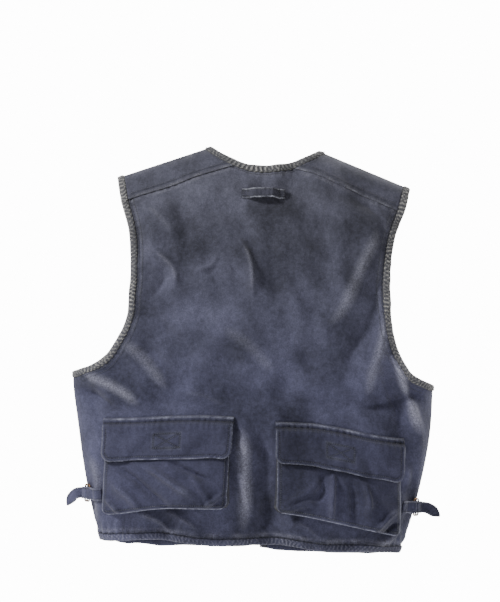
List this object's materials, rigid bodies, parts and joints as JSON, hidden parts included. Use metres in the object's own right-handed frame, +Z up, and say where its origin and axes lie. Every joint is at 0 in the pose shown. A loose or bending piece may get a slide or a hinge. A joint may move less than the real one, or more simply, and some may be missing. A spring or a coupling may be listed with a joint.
{
  "type": "fishing vest",
  "caption": "Waist-length fishing vest in faded navy twill, bound edges, flapped bellows pockets back and front, net loop, side adjusters and an open zip.",
  "frame": {"origin": "midway between the two points where the shoulders meet the neck", "axes": "+X towards the wearer's right, +Y towards the wearer's front, +Z up"},
  "size_m": [0.5326, 0.1867, 0.562],
  "materials": {
    "twill": "garment-dyed, faded",
    "binding_tape": "garment-dyed, worn",
    "hook_and_loop": "matte",
    "aged_metal": "aged bronze plate",
    "zip_plastic": "satin",
    "label_cloth": "woven"
  },
  "bodies": {
    "back": {"back_hem_binding": "binding_tape", "back_panel": "twill", "left_adjuster_buckle": "aged_metal", "left_adjuster_strap": "twill", "left_adjuster_tab": "twill", "left_armhole_binding": "binding_tape", "left_back_pocket": "twill", "left_back_pocket_loop_patch": "hook_and_loop", "left_shoulder_yoke": "twill", "neck_binding": "binding_tape", "neck_label": "label_cloth", "net_loop": "binding_tape", "right_adjuster_buckle": "aged_metal", "right_adjuster_strap": "twill", "right_adjuster_tab": "twill", "right_armhole_binding": "binding_tape", "right_back_pocket": "twill", "right_back_pocket_loop_patch": "hook_and_loop", "right_shoulder_yoke": "twill"},
    "left_strap_end": {"left_adjuster_strap_end": "twill"},
    "left_back_flap": {"left_back_flap_hook_patch": "hook_and_loop", "left_back_pocket_flap": "twill"},
    "left_chest_flap": {"left_chest_flap_hook_patch": "hook_and_loop", "left_chest_pocket_flap": "twill"},
    "left_front": {"left_chest_pocket": "twill", "left_chest_pocket_loop_patch": "hook_and_loop", "left_front_armhole_binding": "binding_tape", "left_front_edge_binding": "binding_tape", "left_front_hem_binding": "binding_tape", "left_front_panel": "twill", "left_lower_pocket": "twill", "left_lower_pocket_loop_patch": "hook_and_loop", "left_zip_box": "zip_plastic", "left_zip_tape": "binding_tape", "left_zip_teeth": "zip_plastic", "left_zip_top_stop": "aged_metal"},
    "left_lower_flap": {"left_lower_flap_hook_patch": "hook_and_loop", "left_lower_pocket_flap": "twill"},
    "right_strap_end": {"right_adjuster_strap_end": "twill"},
    "right_back_flap": {"right_back_flap_hook_patch": "hook_and_loop", "right_back_pocket_flap": "twill"},
    "right_chest_flap": {"right_chest_flap_hook_patch": "hook_and_loop", "right_chest_pocket_flap": "twill"},
    "right_front": {"right_chest_pocket": "twill", "right_chest_pocket_loop_patch": "hook_and_loop", "right_front_armhole_binding": "binding_tape", "right_front_edge_binding": "binding_tape", "right_front_hem_binding": "binding_tape", "right_front_panel": "twill", "right_lower_pocket": "twill", "right_lower_pocket_loop_patch": "hook_and_loop", "right_zip_pin": "zip_plastic", "right_zip_tape": "binding_tape", "right_zip_teeth": "zip_plastic", "right_zip_top_stop": "aged_metal"},
    "right_lower_flap": {"right_lower_flap_hook_patch": "hook_and_loop", "right_lower_pocket_flap": "twill"},
    "pull": {"zip_pull": "aged_metal"},
    "slider": {"zip_slider": "aged_metal"}
  },
  "joints": [
    {"name": "right_front_swing", "type": "hinge", "parent": "back", "child": "right_front", "pos_m": [0.2527, 0, -0.4], "axis": [0, 0, -1], "range_deg": [0, 80]},
    {"name": "left_front_swing", "type": "hinge", "parent": "back", "child": "left_front", "pos_m": [-0.2527, 0, -0.4], "axis": [0, 0, 1], "range_deg": [0, 80]},
    {"name": "right_back_flap_lift", "type": "hinge", "parent": "back", "child": "right_back_flap", "pos_m": [0.11968, -0.06923, -0.37411], "axis": [-0.989, -0.1478, 0], "range_deg": [0, 110]},
    {"name": "left_back_flap_lift", "type": "hinge", "parent": "back", "child": "left_back_flap", "pos_m": [-0.11968, -0.06923, -0.37411], "axis": [-0.989, 0.1478, 0], "range_deg": [0, 110]},
    {"name": "right_lower_flap_lift", "type": "hinge", "parent": "right_front", "child": "right_lower_flap", "pos_m": [0.12557, 0.06833, -0.37805], "axis": [0.989, -0.1478, 0], "range_deg": [0, 110]},
    {"name": "left_lower_flap_lift", "type": "hinge", "parent": "left_front", "child": "left_lower_flap", "pos_m": [-0.12557, 0.06833, -0.37805], "axis": [0.989, 0.1478, 0], "range_deg": [0, 110]},
    {"name": "right_chest_flap_lift", "type": "hinge", "parent": "right_front", "child": "right_chest_flap", "pos_m": [0.10041, 0.07086, -0.22002], "axis": [0.9969, -0.0785, 0], "range_deg": [0, 110]},
    {"name": "left_chest_flap_lift", "type": "hinge", "parent": "left_front", "child": "left_chest_flap", "pos_m": [-0.10041, 0.07086, -0.22002], "axis": [0.9969, 0.0785, 0], "range_deg": [0, 110]},
    {"name": "zip_slide", "type": "slide", "parent": "left_front", "child": "slider", "axis": [0, 0, 1], "range_m": [0, 0.323]},
    {"name": "pull_swing", "type": "hinge", "parent": "slider", "child": "pull", "pos_m": [-0.0058, 0.07301, -0.52552], "axis": [1, 0, 0], "range_deg": [0, 150]},
    {"name": "right_strap_end_swing", "type": "hinge", "parent": "back", "child": "right_strap_end", "pos_m": [0.23721, -0.01326, -0.488], "axis": [0, 0, -1], "range_deg": [-25, 20]},
    {"name": "left_strap_end_swing", "type": "hinge", "parent": "back", "child": "left_strap_end", "pos_m": [-0.23721, -0.01326, -0.488], "axis": [0, 0, 1], "range_deg": [-25, 20]}
  ]
}
